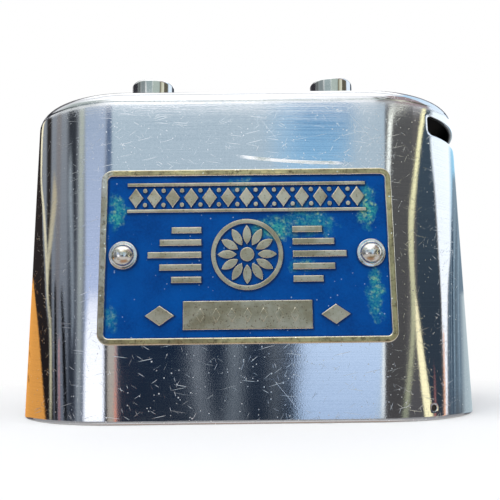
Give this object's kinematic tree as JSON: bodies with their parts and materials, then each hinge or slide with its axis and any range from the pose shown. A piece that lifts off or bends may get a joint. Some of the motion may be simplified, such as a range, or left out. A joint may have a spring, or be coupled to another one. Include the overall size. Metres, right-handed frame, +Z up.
{
  "type": "home savings bank",
  "caption": "Oval drawn-steel home savings bank with a riveted enamelled plate, folding wire bail on two posts, sprung coin flap and a hinged base door with a key lock.",
  "frame": {"origin": "middle of the flat face that the bank stands on, on the shell's own centre planes", "axes": "+X along the width towards the coin slot's end, the name plate faces -Y, +Z up"},
  "size_m": [0.112, 0.0598, 0.0892],
  "materials": {
    "chrome_shell": "polished plate over drawn steel, finely scratched",
    "post_steel": "turned and polished plate",
    "rivet_steel": "polished domed heads",
    "plate_brass": "worn, dull raised brass",
    "blue_enamel": "worn satin enamel with green-grey patches",
    "inner_steel": "bare pressed sheet, lightly oxidised",
    "door_steel": "plated, scuffed from standing",
    "zinc_fasteners": "zinc-plated",
    "spring_steel": "blued spring steel",
    "dark_steel": "darkened pin ends",
    "plug_brass": "turned brass"
  },
  "bodies": {
    "body": {"body_shell": "chrome_shell", "top_stiffener": "inner_steel", "left_post": "post_steel", "right_post": "post_steel", "post_washers": "zinc_fasteners", "post_nuts": "zinc_fasteners", "name_plate": "plate_brass", "enamel_field": "blue_enamel", "plate_rivets": "rivet_steel", "rivet_washers": "zinc_fasteners", "coin_chute": "inner_steel", "chute_rivets": "rivet_steel", "flap_pin": "zinc_fasteners", "base_frame": "inner_steel", "frame_pins": "dark_steel", "hinge_pin": "zinc_fasteners"},
    "bail": {"bail_handle": "post_steel"},
    "flap": {"coin_flap": "inner_steel", "flap_spring": "spring_steel"},
    "door": {"base_door": "door_steel", "lock_case": "inner_steel", "lock_cover": "inner_steel", "lock_screws": "zinc_fasteners", "cover_screws": "zinc_fasteners", "plug_bush": "plug_brass", "detent_spring": "spring_steel"},
    "plug": {"key_plug": "plug_brass"},
    "bolt": {"lock_bolt": "zinc_fasteners"}
  },
  "joints": [
    {"name": "bail_swing", "type": "hinge", "parent": "body", "child": "bail", "pos_m": [-0.001, 0, 0.0816], "axis": [1, 0, 0], "range_deg": [0, 202.8]},
    {"name": "flap_swing", "type": "hinge", "parent": "body", "child": "flap", "pos_m": [0.03624, 0, 0.0721], "axis": [0, 1, 0], "range_deg": [0, 70], "stiffness_Nm_per_rad": 0.002, "springref_deg": -17.19},
    {"name": "door_swing", "type": "hinge", "parent": "body", "child": "door", "pos_m": [0, 0.0229, 0.002], "axis": [1, 0, 0], "range_deg": [0, 95]},
    {"name": "plug_turn", "type": "hinge", "parent": "door", "child": "plug", "pos_m": [0, -0.01, 0], "axis": [0, 0, -1], "range_deg": [0, 90]},
    {"name": "bolt_slide", "type": "slide", "parent": "door", "child": "bolt", "axis": [0, -1, 0], "range_m": [0, 0.00368]}
  ],
  "couplings": [
    {"joint": "plug_turn", "follows": "bolt_slide", "rad_per_m": 427.2}
  ]
}
